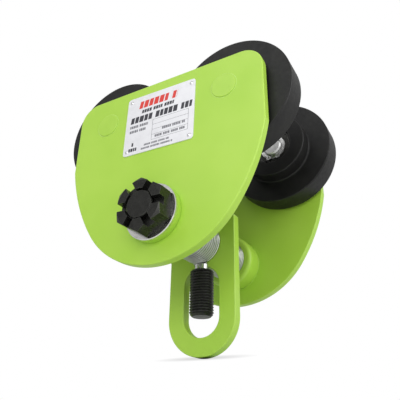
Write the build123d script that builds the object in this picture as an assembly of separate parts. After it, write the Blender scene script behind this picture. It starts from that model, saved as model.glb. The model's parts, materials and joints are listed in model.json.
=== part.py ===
"""Plain push trolley for a steel beam: two wheeled side plates on one load bolt, and a suspension plate.

Millimetres. X runs along the beam, Y across it and Z up. The origin is on the load bolt's axis, in the
middle plane of the suspension plate. "Front" is the side of the castle nut and the nameplate, at negative Y.
"""

import os
from math import cos, radians, sin, sqrt, tan

from build123d import *

# Fits and gaps
running_gap = 0.05
seat_gap = 0.02
side_play = 0.1

# Side plates
plate_half_width = 100.0
plate_thickness = 8.5
plate_top = 140.0
plate_bottom = -42.5
plate_corner_radius = 20.0
bottom_arc_radius = 86.0
side_arc_radius = 180.0
arc_join_angle = 55.0
plate_edge_round = 1.0

# Load bolt, its washers and the castle nut: M24
bolt_radius = 12.0
bolt_head_flats = 36.0
bolt_head_height = 15.0
bolt_end_chamfer = 0.6
bolt_end_past_plate = 23.9
cross_hole_radius = 1.8
nut_washer_radius = 25.0
nut_washer_thickness = 8.5
head_washer_radius = 22.0
head_washer_thickness = 4.0
washer_chamfer = 0.6
nut_flats = 41.0
nut_height = 16.4
nut_slot_width = 7.0
nut_slot_depth = 6.5
nut_relief_radius = 13.2
hex_chamfer_angle = 30.0

# Spacers on the load bolt
spacer_radius = 20.0
spacer_bore_radius = 12.5
spacer_thickness = 3.0
spacer_edge = 0.7
front_spacer_count = 15
rear_spacer_count = 14
collar_radius = 27.0
collar_length = 21.0
collar_round = 4.0

# Suspension plate
suspension_half_width = 34.0
suspension_thickness = 10.0
suspension_top = 24.5
suspension_bottom = -103.0
slot_half_width = 18.0
slot_upper_centre = -40.0
slot_lower_centre = -68.4
suspension_edge_round = 0.8

# Eye stud: a flat eye on the load bolt, a flat-backed neck and an M22 thread hanging in the slot
eye_thickness = 3.0
stud_thread_radius = 11.0
stud_pitch = 2.5
stud_thread_depth = 1.25
stud_neck_radius = 7.0
stud_tongue_top = -18.0
stud_neck_top = -20.8
stud_thread_top = -26.0
stud_thread_turns = 17
stud_crest_share = 0.1
stud_top_chamfer = 1.6
stud_end_chamfer = 2.5
stud_axis_depth = -1.1

# Wheels, one beside each upper corner
wheel_spacing = 127.0
wheel_height = 109.0
wheel_flange_radius = 57.0
wheel_flange_width = 24.0
wheel_tread_radius = 35.0
wheel_width = 40.0
wheel_plate_gap = 4.0
wheel_hub_clearance_radius = 17.0
wheel_edge_round = 1.2
wheel_root_round = 2.0

# Deep-groove ball bearing in each wheel: 20 x 42 x 12
bearing_bore_radius = 10.0
bearing_radius = 21.0
bearing_width = 12.0
bearing_start = 22.0
inner_race_radius = 13.2
outer_race_bore_radius = 17.8
ball_radius = 3.175
ball_pitch_radius = 15.5
ball_count = 9
cage_half_thickness = 0.6
cage_width = 8.4
shield_thickness = 0.5
shield_bore_radius = 13.5
race_chamfer = 0.6

# Axle pins, axle sleeves and circlips
axle_head_radius = 12.0
axle_head_depth = 3.5
axle_head_proud = 0.9
axle_head_round = 0.7
axle_length = 38.5
axle_end_chamfer = 1.2
sleeve_radius = 13.0
axle_clip_thickness = 1.2
axle_clip_groove = 0.5
axle_clip_radius = 12.4
axle_clip_lug_radius = 2.4
axle_clip_lug_place = 13.0
wheel_clip_thickness = 1.75
wheel_clip_groove = 1.2
wheel_clip_bore_radius = 18.6
wheel_clip_lug_radius = 2.6
wheel_clip_lug_place = 18.4
clip_play = 0.05
clip_lug_angle = 22.0
clip_lug_hole_radius = 1.1

# Nameplate and its rivets
nameplate_width = 75.0
nameplate_height = 64.0
nameplate_thickness = 0.8
nameplate_centre_x = -2.5
nameplate_centre_z = 96.8
nameplate_corner_radius = 3.0
nameplate_lean = -1.2
rivet_inset = 4.2
rivet_head_radius = 1.9
rivet_head_height = 0.8
rivet_shank_radius = 1.2
rivet_shank_length = 6.0

# Places along the load bolt, worked out from the middle plane outwards
suspension_face = suspension_thickness / 2
eye_back = -suspension_face - side_play
eye_front = eye_back - eye_thickness
front_spacer_start = eye_front - side_play
front_spacer_end = front_spacer_start - front_spacer_count * spacer_thickness
rear_spacer_start = suspension_face + side_play
rear_spacer_end = rear_spacer_start + rear_spacer_count * spacer_thickness
front_inner = front_spacer_end - collar_length
front_outer = front_inner - plate_thickness
rear_inner = rear_spacer_end + collar_length
rear_outer = rear_inner + plate_thickness
spacer_sag = spacer_bore_radius - bolt_radius - running_gap
stud_axis_y = eye_back - stud_axis_depth
wheel_sides = {"left": -wheel_spacing / 2, "right": wheel_spacing / 2}
rivet_places = [
    (across * (nameplate_width / 2 - rivet_inset), up * (nameplate_height / 2 - rivet_inset))
    for across in (-1, 1)
    for up in (-1, 1)
]


def ring(outer, inner, start, end, edge=0.0):
    """A ring around the Y axis from start to end, with its two outer corners cut by edge."""
    corners = [
        (inner, start),
        (outer - edge, start),
        (outer, start + edge),
        (outer, end - edge),
        (outer - edge, end),
        (inner, end),
    ]
    if not edge:
        corners = [(inner, start), (outer, start), (outer, end), (inner, end)]
    return revolve(make_face(Polyline(*corners, close=True)), Axis.Y)


def rod(radius, start, end, edge=0.0):
    """A round bar along the Y axis."""
    return ring(radius, 0.0, start, end, edge)


def slab(outline, start, end):
    """A flat plate standing in XZ, from start to end along Y."""
    return Pos(0, end, 0) * (Plane.XZ * extrude(outline, end - start))


def round_edges(solid, radius):
    """The circular edges of one radius, all centred on the Y axis."""
    return solid.edges().filter_by(GeomType.CIRCLE).filter_by(lambda edge: abs(edge.radius - radius) < 1e-4)


def hexagon_bar(flats, start, end):
    """A hexagonal bar along Y with a corner pointing up and its far corners chamfered."""
    corner_radius = flats / sqrt(3)
    drop = (corner_radius - flats / 2) * tan(radians(hex_chamfer_angle))
    bar = slab(RegularPolygon(corner_radius, 6, rotation=30), start, end)
    envelope = revolve(
        make_face(
            Polyline(
                (0, start),
                (flats / 2, start),
                (corner_radius, start + drop),
                (corner_radius, end - drop),
                (flats / 2, end),
                (0, end),
                close=True,
            )
        ),
        Axis.Y,
    )
    return bar & envelope


def side_plate_outline():
    """Square-shouldered top, straight sides, and a belly of one bottom arc between two flatter side arcs."""
    belly_centre_z = plate_bottom + bottom_arc_radius
    reach = side_arc_radius - bottom_arc_radius
    turn = radians(arc_join_angle)
    side_centre = (-reach * sin(turn), belly_centre_z + reach * cos(turn))
    join = (bottom_arc_radius * sin(turn), belly_centre_z - bottom_arc_radius * cos(turn))
    shoulder_z = side_centre[1] - sqrt(side_arc_radius**2 - (plate_half_width - side_centre[0]) ** 2)
    corner_z = plate_top - plate_corner_radius
    corner_x = plate_half_width - plate_corner_radius
    right = [
        ThreePointArc(
            (0, plate_bottom),
            (bottom_arc_radius * sin(turn / 2), belly_centre_z - bottom_arc_radius * cos(turn / 2)),
            join,
        ),
        RadiusArc(join, (plate_half_width, shoulder_z), -side_arc_radius),
        Line((plate_half_width, shoulder_z), (plate_half_width, corner_z)),
        RadiusArc((plate_half_width, corner_z), (corner_x, plate_top), -plate_corner_radius),
        Line((corner_x, plate_top), (0, plate_top)),
    ]
    left = [mirror(edge, Plane.YZ) for edge in right]
    return make_face(right + left)


def side_plate(inner, outer):
    """A side plate with its load-bolt hole and two counterbored axle holes. inner and outer are its faces."""
    start, end = sorted((inner, outer))
    plate = slab(side_plate_outline(), start, end)
    plate = fillet(plate.faces().filter_by(Axis.Y).edges(), plate_edge_round)
    plate -= rod(bolt_radius + running_gap, start, end)
    sink = outer + axle_head_depth * (1 if inner > outer else -1)
    for x in wheel_sides.values():
        plate -= Pos(x, 0, wheel_height) * rod(bearing_bore_radius + seat_gap, start, end)
        plate -= Pos(x, 0, wheel_height) * rod(axle_head_radius + seat_gap, *sorted((sink, outer)))
    return plate


def plate_collar(inner, direction):
    """The collar welded to a side plate's inner face; direction points towards the suspension plate."""
    tip = inner + direction * collar_length
    collar = ring(collar_radius, bolt_radius + running_gap, *sorted((inner, tip)))
    tip_edge = round_edges(collar, collar_radius).filter_by(lambda edge: abs(edge.center().Y - tip) < 1e-4)
    return fillet(tip_edge, collar_round)


def spacer_stack(start, count, direction):
    """Loose spacer washers hanging on the load bolt, each resting on the bolt with its bore."""
    first = sorted((start, start + direction * (spacer_thickness - seat_gap)))
    washer = ring(spacer_radius, spacer_bore_radius, *first, spacer_edge)
    places = [Pos(0, direction * place * spacer_thickness, -spacer_sag) for place in range(count)]
    return Compound(children=[place * washer for place in places])


def load_bolt():
    """The hexagon-head load bolt, with the hole for a split pin across its threaded end."""
    tip = front_outer - bolt_end_past_plate
    head_start = rear_outer + head_washer_thickness
    head = hexagon_bar(bolt_head_flats, head_start, head_start + bolt_head_height)
    profile = [
        (0, tip),
        (bolt_radius - bolt_end_chamfer, tip),
        (bolt_radius, tip + bolt_end_chamfer),
        (bolt_radius, head_start),
        (0, head_start),
    ]
    shank = Rot(0, 90, 0) * revolve(make_face(Polyline(*profile, close=True)), Axis.Y)
    slot_floor = front_outer - nut_washer_thickness - nut_height + nut_slot_depth
    hole_y = slot_floor - cross_hole_radius
    hole = Pos(0, hole_y, 0) * Rot(0, 90, 0) * Cylinder(cross_hole_radius, 4 * bolt_radius)
    return shank + head - hole


def bolt_washer(radius, start, end):
    """A flat washer under the castle nut or the bolt's head."""
    return ring(radius, bolt_radius + running_gap, start, end, washer_chamfer)


def castle_nut():
    """A heavy M24 castle nut: six slots through its flats, six prongs at its corners round a wider bore."""
    start = front_outer - nut_washer_thickness - nut_height
    end = front_outer - nut_washer_thickness
    slot_floor = start + nut_slot_depth
    nut = hexagon_bar(nut_flats, start, end) - rod(bolt_radius + seat_gap, start, end)
    nut -= rod(nut_relief_radius, start, slot_floor)
    slot = Box(nut_flats, nut_slot_depth, nut_slot_width)
    slot = Pos(nut_flats / 2, start + nut_slot_depth / 2, 0) * slot
    for turn in range(6):
        nut -= Rot(0, 60 * turn, 0) * slot
    return nut


def suspension_plate():
    """The flat plate that hangs on the load bolt and takes the hoist's hook in its long slot."""
    shoulder = suspension_bottom + suspension_half_width
    outline = make_face(
        [
            Line((-suspension_half_width, shoulder), (-suspension_half_width, suspension_top)),
            Line((-suspension_half_width, suspension_top), (suspension_half_width, suspension_top)),
            Line((suspension_half_width, suspension_top), (suspension_half_width, shoulder)),
            ThreePointArc(
                (suspension_half_width, shoulder), (0, suspension_bottom), (-suspension_half_width, shoulder)
            ),
        ]
    )
    slot_length = slot_upper_centre - slot_lower_centre
    slot = Pos(0, (slot_upper_centre + slot_lower_centre) / 2) * Rot(0, 0, 90) * SlotCenterToCenter(
        slot_length, 2 * slot_half_width
    )
    plate = slab(outline - slot, -suspension_face, suspension_face)
    plate = fillet(plate.faces().filter_by(Axis.Y).edges(), suspension_edge_round)
    return plate - rod(bolt_radius + running_gap, -suspension_face, suspension_face)


def eye_stud():
    """The eye stud. Its thread is rings of one pitch each, and its neck is cut flat to clear the plate."""
    eye = ring(spacer_radius, bolt_radius + running_gap, eye_front, eye_back, spacer_edge)
    tongue = Box(2 * stud_neck_radius, eye_thickness, stud_tongue_top - stud_neck_top)
    tongue = Pos(0, (eye_front + eye_back) / 2, (stud_tongue_top + stud_neck_top) / 2) * tongue
    neck = Cylinder(stud_neck_radius, stud_neck_top - stud_thread_top)
    neck = Pos(0, stud_axis_y, (stud_neck_top + stud_thread_top) / 2) * neck
    behind_eye = Box(4 * stud_neck_radius, 2 * stud_neck_radius, 4 * stud_neck_radius)
    neck -= Pos(0, eye_back + stud_neck_radius, stud_neck_top) * behind_eye
    root = stud_thread_radius - stud_thread_depth
    bottom = stud_thread_top - stud_thread_turns * stud_pitch
    profile = [(0, stud_thread_top), (root, stud_thread_top)]
    for turn in range(stud_thread_turns):
        turn_end = stud_thread_top - (turn + 1) * stud_pitch
        profile.append((stud_thread_radius, turn_end + stud_pitch * (1 + stud_crest_share) / 2))
        profile.append((stud_thread_radius, turn_end + stud_pitch * (1 - stud_crest_share) / 2))
        profile.append((root, turn_end))
    profile.append((0, bottom))
    thread = revolve(Plane.XZ * make_face(Polyline(*profile, close=True)), Axis.Z)
    envelope = revolve(
        Plane.XZ
        * make_face(
            Polyline(
                (0, stud_thread_top),
                (stud_thread_radius - stud_top_chamfer, stud_thread_top),
                (stud_thread_radius, stud_thread_top - stud_top_chamfer),
                (stud_thread_radius, bottom + stud_end_chamfer),
                (stud_thread_radius - stud_end_chamfer, bottom),
                (0, bottom),
                close=True,
            )
        ),
        Axis.Z,
    )
    return eye + tongue + neck + Pos(0, stud_axis_y, 0) * (thread & envelope)


def wheel():
    """A flanged wheel, its flange face at Y=0 and its tread towards +Y, with the bearing's seat and groove."""
    body = revolve(
        make_face(
            Polyline(
                (wheel_hub_clearance_radius, 0),
                (wheel_flange_radius, 0),
                (wheel_flange_radius, wheel_flange_width),
                (wheel_tread_radius, wheel_flange_width),
                (wheel_tread_radius, wheel_width),
                (bearing_radius + seat_gap, wheel_width),
                (bearing_radius + seat_gap, bearing_start),
                (wheel_hub_clearance_radius, bearing_start),
                close=True,
            )
        ),
        Axis.Y,
    )
    root = round_edges(body, wheel_tread_radius).sort_by(Axis.Y)[0]
    body = fillet(root, wheel_root_round)
    tread_end = round_edges(body, wheel_tread_radius).sort_by(Axis.Y)[-1:]
    rims = round_edges(body, wheel_flange_radius) + tread_end
    body = fillet(rims, wheel_edge_round)
    groove_start = bearing_start + bearing_width
    groove = ring(
        bearing_radius + wheel_clip_groove,
        bearing_radius - wheel_clip_groove,
        groove_start,
        groove_start + wheel_clip_thickness + 2 * clip_play,
    )
    return body - groove


def bearing_middle():
    """Y of the bearing's middle plane, from the wheel's flange face."""
    return bearing_start + bearing_width / 2


def ball_groove():
    """The round track that the balls run in, cut into both races."""
    track = Pos(ball_pitch_radius, bearing_middle()) * Circle(ball_radius + seat_gap)
    return revolve(track, Axis.Y)


def bearing_outer_race():
    """The outer race, seated in the wheel."""
    end = bearing_start + bearing_width
    return ring(bearing_radius, outer_race_bore_radius, bearing_start, end, race_chamfer) - ball_groove()


def bearing_inner_race():
    """The inner race, seated on the axle pin."""
    end = bearing_start + bearing_width
    return ring(inner_race_radius, bearing_bore_radius + seat_gap, bearing_start, end) - ball_groove()


def bearing_shields():
    """The two pressed steel shields that close the bearing."""
    near = bearing_start + shield_thickness
    far = bearing_start + bearing_width - shield_thickness
    return Compound(
        children=[
            ring(outer_race_bore_radius - seat_gap, shield_bore_radius, near, near + shield_thickness),
            ring(outer_race_bore_radius - seat_gap, shield_bore_radius, far - shield_thickness, far),
        ]
    )


def around_bearing(shape):
    """Copies of shape at every ball's place; shape is drawn on +X, half a step before the first ball."""
    return [Rot(0, 360 * (place + 0.5) / ball_count, 0) * shape for place in range(ball_count)]


def bearing_balls():
    """The balls of one bearing."""
    ball = Pos(ball_pitch_radius, bearing_middle(), 0) * Sphere(ball_radius)
    return Compound(children=around_bearing(ball))


def ball_cage():
    """The thin cage ring that keeps the balls apart, with one round pocket for each ball."""
    cage = ring(
        ball_pitch_radius + cage_half_thickness,
        ball_pitch_radius - cage_half_thickness,
        bearing_middle() - cage_width / 2,
        bearing_middle() + cage_width / 2,
    )
    pocket = Rot(0, 90, 0) * Cylinder(ball_radius + running_gap, 6 * cage_half_thickness)
    for hole in around_bearing(Pos(ball_pitch_radius, bearing_middle(), 0) * pocket):
        cage -= hole
    return cage


def axle_pin():
    """The axle pin, with its inner end towards +Y, its flush head in the side plate and its clip groove."""
    plate_face = -wheel_plate_gap
    head_top = plate_face - plate_thickness - axle_head_proud
    head = rod(axle_head_radius, head_top, plate_face - plate_thickness + axle_head_depth)
    head_edge = round_edges(head, axle_head_radius).sort_by(Axis.Y)[0]
    head = fillet(head_edge, axle_head_round)
    pin = rod(bearing_bore_radius, head_top + axle_head_proud, axle_length, axle_end_chamfer)
    groove_start = bearing_start + bearing_width
    groove = ring(
        bearing_bore_radius + axle_clip_groove,
        bearing_bore_radius - axle_clip_groove,
        groove_start,
        groove_start + axle_clip_thickness + 2 * clip_play,
    )
    return head + pin - groove


def axle_sleeve():
    """The plain sleeve on the axle pin between the side plate and the bearing's inner race."""
    return ring(sleeve_radius, bearing_bore_radius + seat_gap, -wheel_plate_gap, bearing_start, race_chamfer)


def open_clip(outer, inner, lug_radius, lug_place, thickness):
    """A retaining ring with a gap at its lower side and a drilled lug at each end of the gap."""
    gap_width = outer * sin(radians(clip_lug_angle))
    outline = Circle(outer) - Circle(inner) - Pos(0, -outer) * Rectangle(gap_width, outer)
    lugs = [Rot(0, 0, side * clip_lug_angle) * Pos(0, -lug_place) for side in (-1, 1)]
    for lug in lugs:
        outline += lug * Circle(lug_radius)
    for lug in lugs:
        outline -= lug * Circle(clip_lug_hole_radius)
    start = bearing_start + bearing_width + clip_play
    return slab(outline, start, start + thickness)


def axle_circlip():
    """The external circlip in the axle pin's groove."""
    groove_floor = bearing_bore_radius - axle_clip_groove + seat_gap
    return open_clip(
        axle_clip_radius, groove_floor, axle_clip_lug_radius, axle_clip_lug_place, axle_clip_thickness
    )


def wheel_circlip():
    """The internal circlip in the wheel's groove, against the bearing's outer race."""
    groove_floor = bearing_radius + wheel_clip_groove - seat_gap
    return open_clip(
        groove_floor,
        wheel_clip_bore_radius,
        wheel_clip_lug_radius,
        wheel_clip_lug_place,
        wheel_clip_thickness,
    )


def nameplate_frame(shape):
    """Stands a flat shape drawn about its own centre at the nameplate's place on the front face."""
    return Pos(nameplate_centre_x, 0, nameplate_centre_z) * Rot(0, -nameplate_lean, 0) * shape


def nameplate():
    """The thin nameplate, with a hole for each rivet."""
    outline = RectangleRounded(nameplate_width, nameplate_height, nameplate_corner_radius)
    for x, z in rivet_places:
        outline -= Pos(x, z) * Circle(rivet_shank_radius + running_gap)
    return nameplate_frame(slab(outline, front_outer - nameplate_thickness, front_outer))


def nameplate_rivets():
    """Four small round-head rivets in the nameplate's corners."""
    face = front_outer - nameplate_thickness
    dome_radius = (rivet_head_radius**2 + rivet_head_height**2) / (2 * rivet_head_height)
    dome = Pos(0, face - rivet_head_height + dome_radius, 0) * Sphere(dome_radius)
    head = rod(rivet_head_radius, face - rivet_head_height, face) & dome
    rivet = head + rod(rivet_shank_radius, face, face + rivet_shank_length)
    return nameplate_frame(Compound(children=[Pos(x, 0, z) * rivet for x, z in rivet_places]))


def drill_rivet_holes(plate):
    """Cuts the rivets' blind holes into the front side plate."""
    hole = rod(rivet_shank_radius + running_gap, front_outer, front_outer + rivet_shank_length)
    for x, z in rivet_places:
        plate -= nameplate_frame(Pos(x, 0, z) * hole)
    return plate


def corner_parts(end, side):
    """Every piece of one wheel corner, placed. end is front or rear, side is left or right."""
    makers = {
        "wheel": wheel,
        "outer_race": bearing_outer_race,
        "inner_race": bearing_inner_race,
        "bearing_shields": bearing_shields,
        "bearing_balls": bearing_balls,
        "ball_cage": ball_cage,
        "wheel_circlip": wheel_circlip,
        "axle_pin": axle_pin,
        "axle_sleeve": axle_sleeve,
        "axle_circlip": axle_circlip,
    }
    flange_face = front_inner + wheel_plate_gap if end == "front" else rear_inner - wheel_plate_gap
    placed = {}
    for name, make in makers.items():
        shape = make()
        if end == "rear":
            shape = mirror(shape, Plane.XZ)
        placed[f"{end}_{side}_{name}"] = Pos(wheel_sides[side], flange_face, wheel_height) * shape
    return placed


def all_parts():
    """Every node's shape by name."""
    parts = {
        "front_side_plate": drill_rivet_holes(side_plate(front_inner, front_outer)),
        "rear_side_plate": side_plate(rear_inner, rear_outer),
        "front_plate_collar": plate_collar(front_inner, 1),
        "rear_plate_collar": plate_collar(rear_inner, -1),
        "load_bolt": load_bolt(),
        "castle_nut": castle_nut(),
        "nut_washer": bolt_washer(nut_washer_radius, front_outer - nut_washer_thickness, front_outer),
        "head_washer": bolt_washer(head_washer_radius, rear_outer, rear_outer + head_washer_thickness),
        "front_spacer_washers": spacer_stack(front_spacer_start, front_spacer_count, -1),
        "rear_spacer_washers": spacer_stack(rear_spacer_start, rear_spacer_count, 1),
        "suspension_plate": suspension_plate(),
        "eye_stud": eye_stud(),
        "nameplate": nameplate(),
        "nameplate_rivets": nameplate_rivets(),
    }
    for end in ("front", "rear"):
        for side in wheel_sides:
            parts.update(corner_parts(end, side))
    return parts


os.makedirs("parts", exist_ok=True)
for part_name, part_shape in all_parts().items():
    export_step(part_shape, f"parts/{part_name}.step")
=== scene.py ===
"""Looks for the push trolley: materials, the nameplate's printing, the studio and the camera.

Metres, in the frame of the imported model. X runs along the beam, Y across it and Z up.
"""

import json
from math import cos, radians, sin
from random import Random

import bmesh
import bpy
from mathutils import Matrix, Vector


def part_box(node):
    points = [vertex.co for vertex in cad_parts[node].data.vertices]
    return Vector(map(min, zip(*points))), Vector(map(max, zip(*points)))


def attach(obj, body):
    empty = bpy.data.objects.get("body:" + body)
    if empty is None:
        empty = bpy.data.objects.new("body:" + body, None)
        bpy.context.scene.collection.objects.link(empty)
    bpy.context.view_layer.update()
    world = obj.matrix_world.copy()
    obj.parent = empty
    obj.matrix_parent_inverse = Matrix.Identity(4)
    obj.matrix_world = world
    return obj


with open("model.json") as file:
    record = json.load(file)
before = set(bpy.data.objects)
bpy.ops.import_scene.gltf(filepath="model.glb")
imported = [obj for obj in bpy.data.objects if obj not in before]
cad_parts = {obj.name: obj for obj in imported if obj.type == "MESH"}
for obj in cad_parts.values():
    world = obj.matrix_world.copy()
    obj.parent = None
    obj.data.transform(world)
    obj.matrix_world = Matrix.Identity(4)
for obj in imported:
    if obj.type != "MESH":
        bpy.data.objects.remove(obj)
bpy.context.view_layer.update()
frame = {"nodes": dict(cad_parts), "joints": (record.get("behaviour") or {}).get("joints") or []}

MM = 0.001
ENDS = ("front", "rear")
SIDES = ("left", "right")

LIME_DEEP = (0.365, 0.610, 0.054)
LIME_LIGHT = (0.400, 0.640, 0.068)
PALE_WEAR = (0.92, 0.92, 0.92)
NICKEL = (0.78, 0.77, 0.76)
PIN_STEEL = (0.66, 0.66, 0.65)


# ---------------------------------------------------------------- places read from the frame

def joint_point(name):
    """The place of a joint's axis at rest."""
    return Vector(next(joint["pos_m"] for joint in frame["joints"] if joint["name"] == name))


wheel_axis = joint_point("front_right_wheel_spin")
front_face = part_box("front_side_plate")[0].y
rear_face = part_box("rear_side_plate")[1].y
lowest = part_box("suspension_plate")[0].z


# ---------------------------------------------------------------- shader building blocks

def node(tree, kind, inputs=None, **settings):
    """Adds a shader node. inputs holds values or sockets by name or number; settings are attributes."""
    made = tree.nodes.new("ShaderNode" + kind)
    for name, value in settings.items():
        setattr(made, name, value)
    for name, value in (inputs or {}).items():
        if isinstance(value, bpy.types.NodeSocket):
            tree.links.new(value, made.inputs[name])
        else:
            made.inputs[name].default_value = value
    return made


def start_material(name):
    """A new material with a Principled shader on its output, as the material, its tree and the shader."""
    material = bpy.data.materials.new(name)
    material.use_nodes = True
    tree = material.node_tree
    tree.nodes.clear()
    shader = node(tree, "BsdfPrincipled")
    node(tree, "OutputMaterial", {"Surface": shader.outputs["BSDF"]})
    return material, tree, shader


def drive(tree, shader, **sockets):
    """Links sockets, or sets values, on a shader's inputs. Underscores in names stand for spaces."""
    for name, value in sockets.items():
        target = shader.inputs[name.replace("_", " ")]
        if isinstance(value, bpy.types.NodeSocket):
            tree.links.new(value, target)
        else:
            target.default_value = value


def place(tree):
    """The point being shaded, in the part's own frame, in metres."""
    return node(tree, "TexCoord").outputs["Object"]


def calculate(tree, operation, first, second=0.0):
    """One arithmetic step."""
    return node(tree, "Math", {0: first, 1: second}, operation=operation).outputs[0]


def remap(tree, value, low, high, to_low=0.0, to_high=1.0):
    """Carries value from the span low..high to the span to_low..to_high, held at the ends."""
    inputs = {"Value": value, "From Min": low, "From Max": high, "To Min": to_low, "To Max": to_high}
    return node(tree, "MapRange", inputs).outputs["Result"]


def noise(tree, vector, size, detail=3.0):
    """Soft noise whose blotches are about size metres across."""
    inputs = {"Vector": vector, "Scale": 1 / size, "Detail": detail, "Roughness": 0.55}
    return node(tree, "TexNoise", inputs).outputs["Fac"]


def mix_colours(tree, factor, first, second):
    """first where factor is 0, second where it is 1."""
    made = node(tree, "Mix", {"Factor": factor}, data_type="RGBA")
    for slot, value in ((6, first), (7, second)):
        if isinstance(value, bpy.types.NodeSocket):
            tree.links.new(value, made.inputs[slot])
        else:
            made.inputs[slot].default_value = (*value, 1.0)
    return made.outputs[2]


def edge_mask(tree, radius):
    """1 along outside edges and corners, 0 on open faces, found from a bevelled normal."""
    flat_enough = 0.99
    fully_edge = 0.88
    bevelled = node(tree, "Bevel", {"Radius": radius}, samples=4).outputs["Normal"]
    true_normal = node(tree, "NewGeometry").outputs["Normal"]
    dot = node(tree, "VectorMath", {0: bevelled, 1: true_normal}, operation="DOT_PRODUCT")
    return remap(tree, dot.outputs["Value"], flat_enough, fully_edge)


def bump(tree, height, depth, strength=1.0, normal=None):
    """A bump from a 0..1 height whose full relief is depth metres."""
    inputs = {"Height": height, "Distance": depth, "Strength": strength}
    if normal is not None:
        inputs["Normal"] = normal
    return node(tree, "Bump", inputs).outputs["Normal"]


def distance_from_wheel_axle(tree, point):
    """How far the shaded point is from the nearest wheel's axle line."""
    parts = node(tree, "SeparateXYZ", {"Vector": point})
    across = calculate(tree, "SUBTRACT", calculate(tree, "ABSOLUTE", parts.outputs["X"]), wheel_axis.x)
    up = calculate(tree, "SUBTRACT", parts.outputs["Z"], wheel_axis.z)
    flat = node(tree, "CombineXYZ", {"X": across, "Y": up})
    return node(tree, "VectorMath", {0: flat.outputs[0]}, operation="LENGTH").outputs["Value"]


def turned_rings(tree, radius, pitch):
    """Fine tool marks around an axis, as a 0..1 height, from the distance to that axis."""
    line = node(tree, "TexNoise", {"W": radius, "Scale": 1 / pitch, "Detail": 2.0}, noise_dimensions="1D")
    return line.outputs["Fac"]


# ---------------------------------------------------------------- materials

def lime_paint():
    """Lime powder coat: faint orange peel, slow shade drift, and lighter edges that are partly thinner, worn
    paint and partly a painted highlight.
    """
    material, tree, shader = start_material("lime_powder_coat")
    point = place(tree)
    drift = noise(tree, point, 60 * MM, detail=2.0)
    base = mix_colours(tree, remap(tree, drift, 0.35, 0.65), LIME_DEEP, LIME_LIGHT)
    speckle = remap(tree, noise(tree, point, 0.9 * MM, detail=4.0), 0.62, 0.74, 0.0, 0.25)
    base = mix_colours(tree, speckle, base, (0.44, 0.67, 0.13))
    # Painted highlight: the edges are lightened in patches, partly as worn paint and partly to stand for the
    # light caught along them.
    edges = edge_mask(tree, 1.4 * MM)
    worn_and_highlight = calculate(tree, "MULTIPLY", edges, remap(tree, noise(tree, point, 7 * MM), 0.35, 0.7, 0.5, 0.95))
    base = mix_colours(tree, worn_and_highlight, base, (0.72, 0.88, 0.38))
    peel = noise(tree, point, 1.6 * MM, detail=2.0)
    gloss = remap(tree, noise(tree, point, 18 * MM), 0.3, 0.7, 0.34, 0.44)
    drive(tree, shader, Base_Color=base, Roughness=gloss, Normal=bump(tree, peel, 0.06 * MM, 0.35))
    drive(tree, shader, Specular_IOR_Level=0.4, Coat_Weight=0.12, Coat_Roughness=0.28)
    return material


def black_wheel_paint():
    """Satin black paint over turned iron: tool rings, a dusty sheen and greyer rubbed edges."""
    material, tree, shader = start_material("wheel_satin_black")
    point = place(tree)
    radius = distance_from_wheel_axle(tree, point)
    rings = turned_rings(tree, radius, 0.45 * MM)
    dust = noise(tree, point, 16 * MM, detail=5.0)
    base = mix_colours(tree, remap(tree, dust, 0.35, 0.7), (0.006, 0.006, 0.006), (0.012, 0.012, 0.011))
    edges = edge_mask(tree, 1.0 * MM)
    rubbed = calculate(tree, "MULTIPLY", edges, remap(tree, noise(tree, point, 4 * MM), 0.3, 0.7, 0.35, 0.9))
    base = mix_colours(tree, rubbed, base, (0.085, 0.085, 0.088))
    gloss = remap(tree, noise(tree, point, 3 * MM, detail=4.0), 0.3, 0.7, 0.40, 0.54)
    grain = noise(tree, point, 0.5 * MM, detail=3.0)
    normal = bump(tree, rings, 0.03 * MM, 0.5, bump(tree, grain, 0.03 * MM, 0.4))
    drive(tree, shader, Base_Color=base, Roughness=gloss, Normal=normal, Specular_IOR_Level=0.28)
    return material


def black_oxide(name, tint=(0.034, 0.034, 0.031)):
    """Black-oxide steel: dark, softly mirroring, with fine machining grain and brighter edges."""
    material, tree, shader = start_material(name)
    point = place(tree)
    blotches = noise(tree, point, 5 * MM, detail=5.0)
    darker = tuple(0.7 * channel for channel in tint)
    base = mix_colours(tree, remap(tree, blotches, 0.35, 0.65), darker, tint)
    edges = edge_mask(tree, 0.5 * MM)
    base = mix_colours(tree, calculate(tree, "MULTIPLY", edges, 0.55), base, (0.17, 0.17, 0.16))
    gloss = remap(tree, noise(tree, point, 1.5 * MM, detail=4.0), 0.3, 0.7, 0.24, 0.38)
    grain = noise(tree, point, 0.35 * MM, detail=2.0)
    normal = bump(tree, grain, 0.02 * MM, 0.4)
    drive(tree, shader, Base_Color=base, Roughness=gloss, Metallic=0.75, Normal=normal)
    return material


def bright_metal(name, colour, low_gloss, high_gloss):
    """Bare or plated bright metal with fine grain, cloudy roughness and slightly darker stains."""
    material, tree, shader = start_material(name)
    point = place(tree)
    stains = noise(tree, point, 6 * MM, detail=5.0)
    dull = tuple(0.72 * channel for channel in colour)
    base = mix_colours(tree, remap(tree, stains, 0.55, 0.75), colour, dull)
    edges = edge_mask(tree, 0.3 * MM)
    base = mix_colours(tree, calculate(tree, "MULTIPLY", edges, 0.5), base, PALE_WEAR)
    gloss = remap(tree, noise(tree, point, 2.5 * MM, detail=4.0), 0.3, 0.7, low_gloss, high_gloss)
    grain = noise(tree, point, 0.3 * MM, detail=2.0)
    normal = bump(tree, grain, 0.015 * MM, 0.5)
    drive(tree, shader, Base_Color=base, Roughness=gloss, Metallic=1.0, Normal=normal)
    return material


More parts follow.
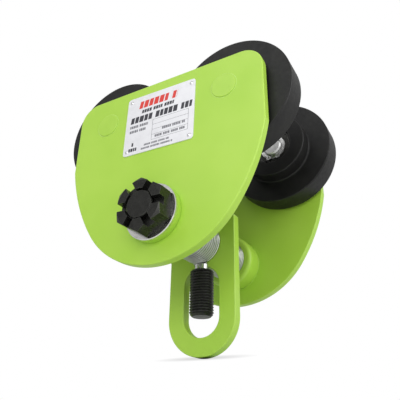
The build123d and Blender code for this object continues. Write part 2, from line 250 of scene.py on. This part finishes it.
def turned_metal(name, colour, low_gloss, high_gloss):
    """Ground bearing steel: bright metal with tool rings around the wheel's axle."""
    material = bright_metal(name, colour, low_gloss, high_gloss)
    tree = material.node_tree
    shader = tree.nodes["Principled BSDF"]
    rings = turned_rings(tree, distance_from_wheel_axle(tree, place(tree)), 0.2 * MM)
    drive(tree, shader, Normal=bump(tree, rings, 0.02 * MM, 0.6))
    return material


def steel_with_lime(name, colour, low_gloss, high_gloss, find_painted):
    """Bright steel with lime paint wherever find_painted, given the tree and the shaded point's Y, is 1."""
    material = bright_metal(name, colour, low_gloss, high_gloss)
    tree = material.node_tree
    steel = tree.nodes["Principled BSDF"]
    point = place(tree)
    paint = node(tree, "BsdfPrincipled", {"Roughness": 0.38, "Coat Weight": 0.12, "Coat Roughness": 0.28})
    drift = noise(tree, point, 20 * MM, detail=2.0)
    base = mix_colours(tree, remap(tree, drift, 0.35, 0.65), LIME_DEEP, LIME_LIGHT)
    # Painted highlight: the painted edges are lightened to stand for the light caught along them.
    edges = calculate(tree, "MULTIPLY", edge_mask(tree, 1.0 * MM), 0.6)
    base = mix_colours(tree, edges, base, (0.58, 0.84, 0.20))
    peel = bump(tree, noise(tree, point, 1.6 * MM, detail=2.0), 0.06 * MM, 0.35)
    drive(tree, paint, Base_Color=base, Normal=peel)
    painted = find_painted(tree, node(tree, "SeparateXYZ", {"Vector": point}).outputs["Y"])
    both = node(tree, "MixShader", {0: painted, 1: steel.outputs[0], 2: paint.outputs[0]})
    tree.links.new(both.outputs[0], tree.nodes["Material Output"].inputs["Surface"])
    return material


def axle_heads(tree, y):
    """1 over the axle pins' heads, which are painted together with the side plates."""
    head_depth = 3.6 * MM
    front_head = calculate(tree, "LESS_THAN", y, front_face + head_depth)
    rear_head = calculate(tree, "GREATER_THAN", y, rear_face - head_depth)
    return calculate(tree, "MAXIMUM", front_head, rear_head)


def washer_back_painted_shade(tree, y):
    """1 over the back of the nut washer's rim, painted lime as painted shade: it stands in for the soft
    green shade beside the washer.
    """
    painted_width = 5.5 * MM
    return calculate(tree, "GREATER_THAN", y, front_face - painted_width)


def nameplate_metal():
    """Satin silver-white nameplate: fine straight brushing along the plate and faint handling marks."""
    material, tree, shader = start_material("nameplate_satin_aluminium")
    point = place(tree)
    stretched = node(tree, "Mapping", {"Vector": point, "Scale": (0.04, 1.0, 1.0)}).outputs[0]
    brushing = noise(tree, stretched, 0.22 * MM, detail=3.0)
    marks = noise(tree, point, 9 * MM, detail=5.0)
    base = mix_colours(tree, remap(tree, marks, 0.4, 0.7), (0.80, 0.80, 0.83), (0.74, 0.74, 0.77))
    base = mix_colours(tree, remap(tree, brushing, 0.35, 0.65, 0.0, 0.25), base, (0.72, 0.72, 0.76))
    gloss = remap(tree, brushing, 0.3, 0.7, 0.34, 0.46)
    normal = bump(tree, brushing, 0.01 * MM, 0.4)
    drive(tree, shader, Base_Color=base, Roughness=gloss, Metallic=0.25, Normal=normal)
    return material


def printing_ink(name, colour):
    """Screen-printed ink with slightly uneven cover."""
    material, tree, shader = start_material(name)
    point = place(tree)
    cover = noise(tree, point, 0.5 * MM, detail=3.0)
    faded = tuple(min(1.0, channel * 1.5 + 0.03) for channel in colour)
    base = mix_colours(tree, remap(tree, cover, 0.45, 0.75, 0.0, 0.5), colour, faded)
    drive(tree, shader, Base_Color=base, Roughness=remap(tree, cover, 0.3, 0.7, 0.45, 0.6))
    drive(tree, shader, Normal=bump(tree, cover, 0.01 * MM, 0.3))
    return material


def stud_material(boundary):
    """The eye stud: black thread below boundary, bright steel neck and eye above it."""
    material = bright_metal("stud_bright_and_black", (0.60, 0.60, 0.59), 0.16, 0.28)
    tree = material.node_tree
    bright = tree.nodes["Principled BSDF"]
    point = place(tree)
    blotches = noise(tree, point, 3 * MM, detail=5.0)
    base = mix_colours(tree, remap(tree, blotches, 0.35, 0.65), (0.012, 0.012, 0.011), (0.026, 0.026, 0.023))
    gloss = remap(tree, blotches, 0.3, 0.7, 0.30, 0.45)
    black = node(tree, "BsdfPrincipled", {"Base Color": base, "Roughness": gloss, "Metallic": 0.3})
    drive(tree, black, Normal=bump(tree, noise(tree, point, 0.3 * MM), 0.02 * MM, 0.5))
    height = node(tree, "SeparateXYZ", {"Vector": point}).outputs["Z"]
    threaded = calculate(tree, "LESS_THAN", height, boundary)
    both = node(tree, "MixShader", {0: threaded, 1: bright.outputs[0], 2: black.outputs[0]})
    tree.links.new(both.outputs[0], tree.nodes["Material Output"].inputs["Surface"])
    return material


def dress(names, material):
    """Puts one material on every slot of the named CAD nodes."""
    for name in names:
        mesh = frame["nodes"][name].data
        if not mesh.materials:
            mesh.materials.append(material)
        for slot in range(len(mesh.materials)):
            mesh.materials[slot] = material


def corner_names(piece):
    """The four nodes that hold this piece, one at each wheel."""
    return [f"{end}_{side}_{piece}" for end in ENDS for side in SIDES]


def dress_everything():
    """Every carried-over CAD node's finish."""
    green = [f"{end}_{piece}" for end in ENDS for piece in ("side_plate", "plate_collar")]
    dress(green + ["suspension_plate"], lime_paint())
    dress(["load_bolt", "castle_nut"], black_oxide("fastener_black_oxide"))
    # Painted shade: lime paint on the back of the washer's rim stands for the soft green shade beside the
    # washer.
    dress(["nut_washer"], steel_with_lime("nut_washer_nickel_painted_shade", NICKEL, 0.14, 0.22, washer_back_painted_shade))
    dress(["head_washer"], bright_metal("head_washer_nickel", NICKEL, 0.14, 0.22))
    spacers = ["front_spacer_washers", "rear_spacer_washers"]
    dress(spacers, bright_metal("spacer_zinc", (0.44, 0.45, 0.44), 0.28, 0.40))
    dress(["nameplate"], nameplate_metal())
    dress(["nameplate_rivets"], bright_metal("rivet_aluminium", (0.74, 0.74, 0.75), 0.28, 0.40))
    dress(corner_names("wheel"), black_wheel_paint())
    ground_steel = turned_metal("bearing_ground_steel", (0.60, 0.60, 0.59), 0.26, 0.38)
    dress(corner_names("inner_race"), ground_steel)
    # Painted shade: the outer races and bearing shields are coloured black to stand for the shade inside the
    # wheels' hub recesses.
    dress(corner_names("outer_race"), black_oxide("outer_race_black_painted_shade"))
    dress(corner_names("axle_circlip"), ground_steel)
    dress(corner_names("bearing_shields"), black_oxide("shield_black_painted_shade"))
    dress(corner_names("bearing_balls"), bright_metal("ball_steel", (0.76, 0.76, 0.76), 0.05, 0.09))
    dress(corner_names("ball_cage"), bright_metal("cage_steel", (0.50, 0.47, 0.42), 0.30, 0.44))
    dress(corner_names("wheel_circlip"), black_oxide("clip_phosphate", (0.030, 0.030, 0.028)))
    dress(corner_names("axle_sleeve"), bright_metal("sleeve_zinc", (0.46, 0.47, 0.46), 0.34, 0.46))
    dress(corner_names("axle_pin"), steel_with_lime("axle_pin_steel", PIN_STEEL, 0.32, 0.44, axle_heads))
    thread_top = -26 * MM
    dress(["eye_stud"], stud_material(thread_top))


# ---------------------------------------------------------------- the nameplate's printing

plate_lean = radians(-1.2)
plate_width = 75 * MM
plate_height = 64 * MM
ink_thickness = 0.03 * MM


def nameplate_turn():
    """Carries the nameplate's own X and Z, measured from its middle, to its place on the trolley."""
    low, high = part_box("nameplate")
    middle = Vector(((low.x + high.x) / 2, low.y, (low.z + high.z) / 2))
    return Matrix.Translation(middle) @ Matrix.Rotation(-plate_lean, 4, "Y")


def ink_piece(name, bars, material):
    """Thin raised ink bars on the nameplate as one piece. A bar is (left, bottom, right, top, slant)."""
    shape = bmesh.new()
    for left, bottom, right, top, slant in bars:
        corners = [(left, bottom), (right, bottom), (right + slant, top), (left + slant, top)]
        back = [shape.verts.new((x, 0, z)) for x, z in corners]
        face = [shape.verts.new((x, -ink_thickness, z)) for x, z in corners]
        shape.faces.new(face)
        shape.faces.new(back[::-1])
        for near in range(4):
            far = (near + 1) % 4
            shape.faces.new((back[near], back[far], face[far], face[near]))
    bmesh.ops.recalc_face_normals(shape, faces=shape.faces)
    mesh = bpy.data.meshes.new(name)
    shape.to_mesh(mesh)
    shape.free()
    mesh.transform(nameplate_turn())
    mesh.materials.append(material)
    piece = bpy.data.objects.new(name, mesh)
    bpy.context.scene.collection.objects.link(piece)
    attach(piece, "frame")


def across(share):
    """X on the nameplate from a share of its width, 0 at the left."""
    return (share - 0.5) * plate_width


def down(share):
    """Z on the nameplate from a share of its height, 0 at the top."""
    return (0.5 - share) * plate_height


def blocked_line(left, right, top, bottom, seed, slant=0.0, word=6):
    """A row of plain blocks standing in for a line of words, all sizes as shares of the nameplate."""
    narrowest, widest = 0.44, 0.70
    letter_gap, word_gap = 0.15, 0.6
    rng = Random(seed)
    height = down(top) - down(bottom)
    cursor = across(left)
    end = across(right)
    bars = []
    count = 0
    while cursor < end:
        width = height * rng.uniform(narrowest, widest)
        stop = min(cursor + width, end)
        bars.append((cursor, down(bottom), stop, down(top), slant * height))
        count += 1
        gap = height * letter_gap
        if count % word == 0:
            gap = height * word_gap
        cursor = stop + gap
    return bars


def ruled_table(left, right, top, bottom, rows):
    """Thin lines round and across a table, with shares of the nameplate."""
    line = 0.004
    bars = []
    for row in range(rows + 1):
        level = top + (bottom - top) * row / rows
        bars.append((across(left), down(level + line), across(right), down(level), 0.0))
    for side in (left, right):
        bars.append((across(side), down(bottom), across(side + line), down(top), 0.0))
    return bars


def print_nameplate():
    """Red heading, dark lines, a small table and footer rows, all as plain blocks with no lettering."""
    red = printing_ink("ink_red", (0.62, 0.035, 0.025))
    dark = printing_ink("ink_black", (0.025, 0.025, 0.035))
    grey = printing_ink("ink_grey", (0.16, 0.16, 0.18))
    ink_piece("nameplate_red_heading", blocked_line(0.18, 0.74, 0.10, 0.225, 3, slant=0.18), red)
    bold = blocked_line(0.07, 0.96, 0.36, 0.465, 11, slant=0.12, word=5)
    bold += blocked_line(0.23, 0.73, 0.262, 0.318, 5, slant=0.15, word=4)
    bold += blocked_line(0.08, 0.20, 0.89, 0.945, 8)
    bold += blocked_line(0.12, 0.145, 0.80, 0.86, 8)
    ink_piece("nameplate_dark_lines", bold, dark)
    small = blocked_line(0.07, 0.34, 0.505, 0.548, 21, word=5)
    small += blocked_line(0.07, 0.31, 0.585, 0.628, 22, word=5)
    small += blocked_line(0.56, 0.88, 0.665, 0.705, 23, word=5)
    small += blocked_line(0.46, 0.88, 0.765, 0.805, 24, word=4)
    small += blocked_line(0.31, 0.67, 0.87, 0.90, 25, word=5)
    small += blocked_line(0.27, 0.72, 0.925, 0.955, 26, word=7)
    small += ruled_table(0.41, 0.92, 0.49, 0.83, 4)
    ink_piece("nameplate_small_lines", small, grey)


# ---------------------------------------------------------------- studio and camera

def soft_light(name, size, location, target, strength):
    """A soft white rectangular area light facing target."""
    light = bpy.data.lights.new(name, "AREA")
    light.shape = "RECTANGLE"
    light.size, light.size_y = size
    light.energy = strength
    holder = bpy.data.objects.new(name, light)
    holder.location = location
    holder.rotation_mode = "QUATERNION"
    holder.rotation_quaternion = (Vector(target) - Vector(location)).to_track_quat("-Z", "Y")
    bpy.context.scene.collection.objects.link(holder)


def make_world():
    """White backdrop to the camera, a softer white for lighting and reflections."""
    world = bpy.data.worlds.new("studio")
    bpy.context.scene.world = world
    world.use_nodes = True
    tree = world.node_tree
    tree.nodes.clear()
    seen = node(tree, "LightPath").outputs["Is Camera Ray"]
    light = node(tree, "Background", {"Color": (1, 1, 1, 1), "Strength": 0.58})
    backdrop = node(tree, "Background", {"Color": (1, 1, 1, 1), "Strength": 1.0})
    both = node(tree, "MixShader", {0: seen, 1: light.outputs[0], 2: backdrop.outputs[0]})
    node(tree, "OutputWorld", {"Surface": both.outputs[0]})


def make_lights():
    """Key from above the front, a side light for the wheel rims, and a fill from the front."""
    middle = (0, 0, 40 * MM)
    soft_light("key_light", (0.9, 0.9), (-0.2, -1.3, 0.95), middle, 3.5)
    soft_light("rim_light", (0.9, 0.9), (1.15, -0.05, 0.45), middle, 7.0)
    soft_light("front_fill", (0.8, 0.4), (0.35, -1.1, 0.18), middle, 3.6)


def make_floor():
    """A pale floor under the suspension plate. It is clear from below, apart from a faint contact shadow."""
    shadow_reach = 52 * MM
    shadow_depth = 14 * MM
    material, tree, shader = start_material("floor_pale")
    point = place(tree)
    cloud = noise(tree, point, 0.25, detail=3.0)
    base = mix_colours(tree, remap(tree, cloud, 0.3, 0.7), (0.86, 0.86, 0.86), (0.90, 0.90, 0.90))
    drive(tree, shader, Base_Color=base, Roughness=0.6, Normal=bump(tree, cloud, 0.1 * MM, 0.2))
    facing = node(tree, "NewGeometry").outputs["Backfacing"]
    squeeze = (1 / shadow_reach, 1 / shadow_depth, 0)
    foot = node(tree, "Mapping", {"Vector": point, "Scale": squeeze}).outputs[0]
    away = node(tree, "VectorMath", {0: foot}, operation="LENGTH").outputs["Value"]
    shade = mix_colours(tree, remap(tree, away, 0.3, 1.0), (0.72, 0.72, 0.72), (1.0, 1.0, 1.0))
    clear = node(tree, "BsdfTransparent", {"Color": shade})
    both = node(tree, "MixShader", {0: facing, 1: shader.outputs[0], 2: clear.outputs[0]})
    tree.links.new(both.outputs[0], tree.nodes["Material Output"].inputs["Surface"])
    reach = 3.0
    mesh = bpy.data.meshes.new("floor")
    corners = [(-reach, -reach, 0), (reach, -reach, 0), (reach, reach, 0), (-reach, reach, 0)]
    mesh.from_pydata(corners, [], [(0, 1, 2, 3)])
    mesh.materials.append(material)
    floor = bpy.data.objects.new("floor", mesh)
    floor.location.z = lowest
    bpy.context.scene.collection.objects.link(floor)


def make_camera():
    """A low three-quarter view from the right, looking up at the trolley."""
    azimuth = radians(30.07)
    elevation = radians(-25.98)
    roll = radians(-1.02)
    distance = 0.4829
    target = Vector((-5.9 * MM, 0, 50.4 * MM))
    level = cos(elevation)
    back = Vector((sin(azimuth) * level, -cos(azimuth) * level, sin(elevation)))
    right = Vector((cos(azimuth), sin(azimuth), 0))
    up = back.cross(right)
    turned_right = right * cos(roll) - up * sin(roll)
    turned_up = right * sin(roll) + up * cos(roll)
    data = bpy.data.cameras.new("camera")
    data.lens = 43.07
    data.sensor_width = 36
    data.clip_start = 0.01
    camera = bpy.data.objects.new("camera", data)
    axes = Matrix((turned_right, turned_up, back)).transposed().to_4x4()
    camera.matrix_world = Matrix.Translation(target + back * distance) @ axes
    bpy.context.scene.collection.objects.link(camera)
    bpy.context.scene.camera = camera


dress_everything()
print_nameplate()
make_world()
make_lights()
make_floor()
make_camera()
bpy.context.scene.view_settings.view_transform = "Standard"
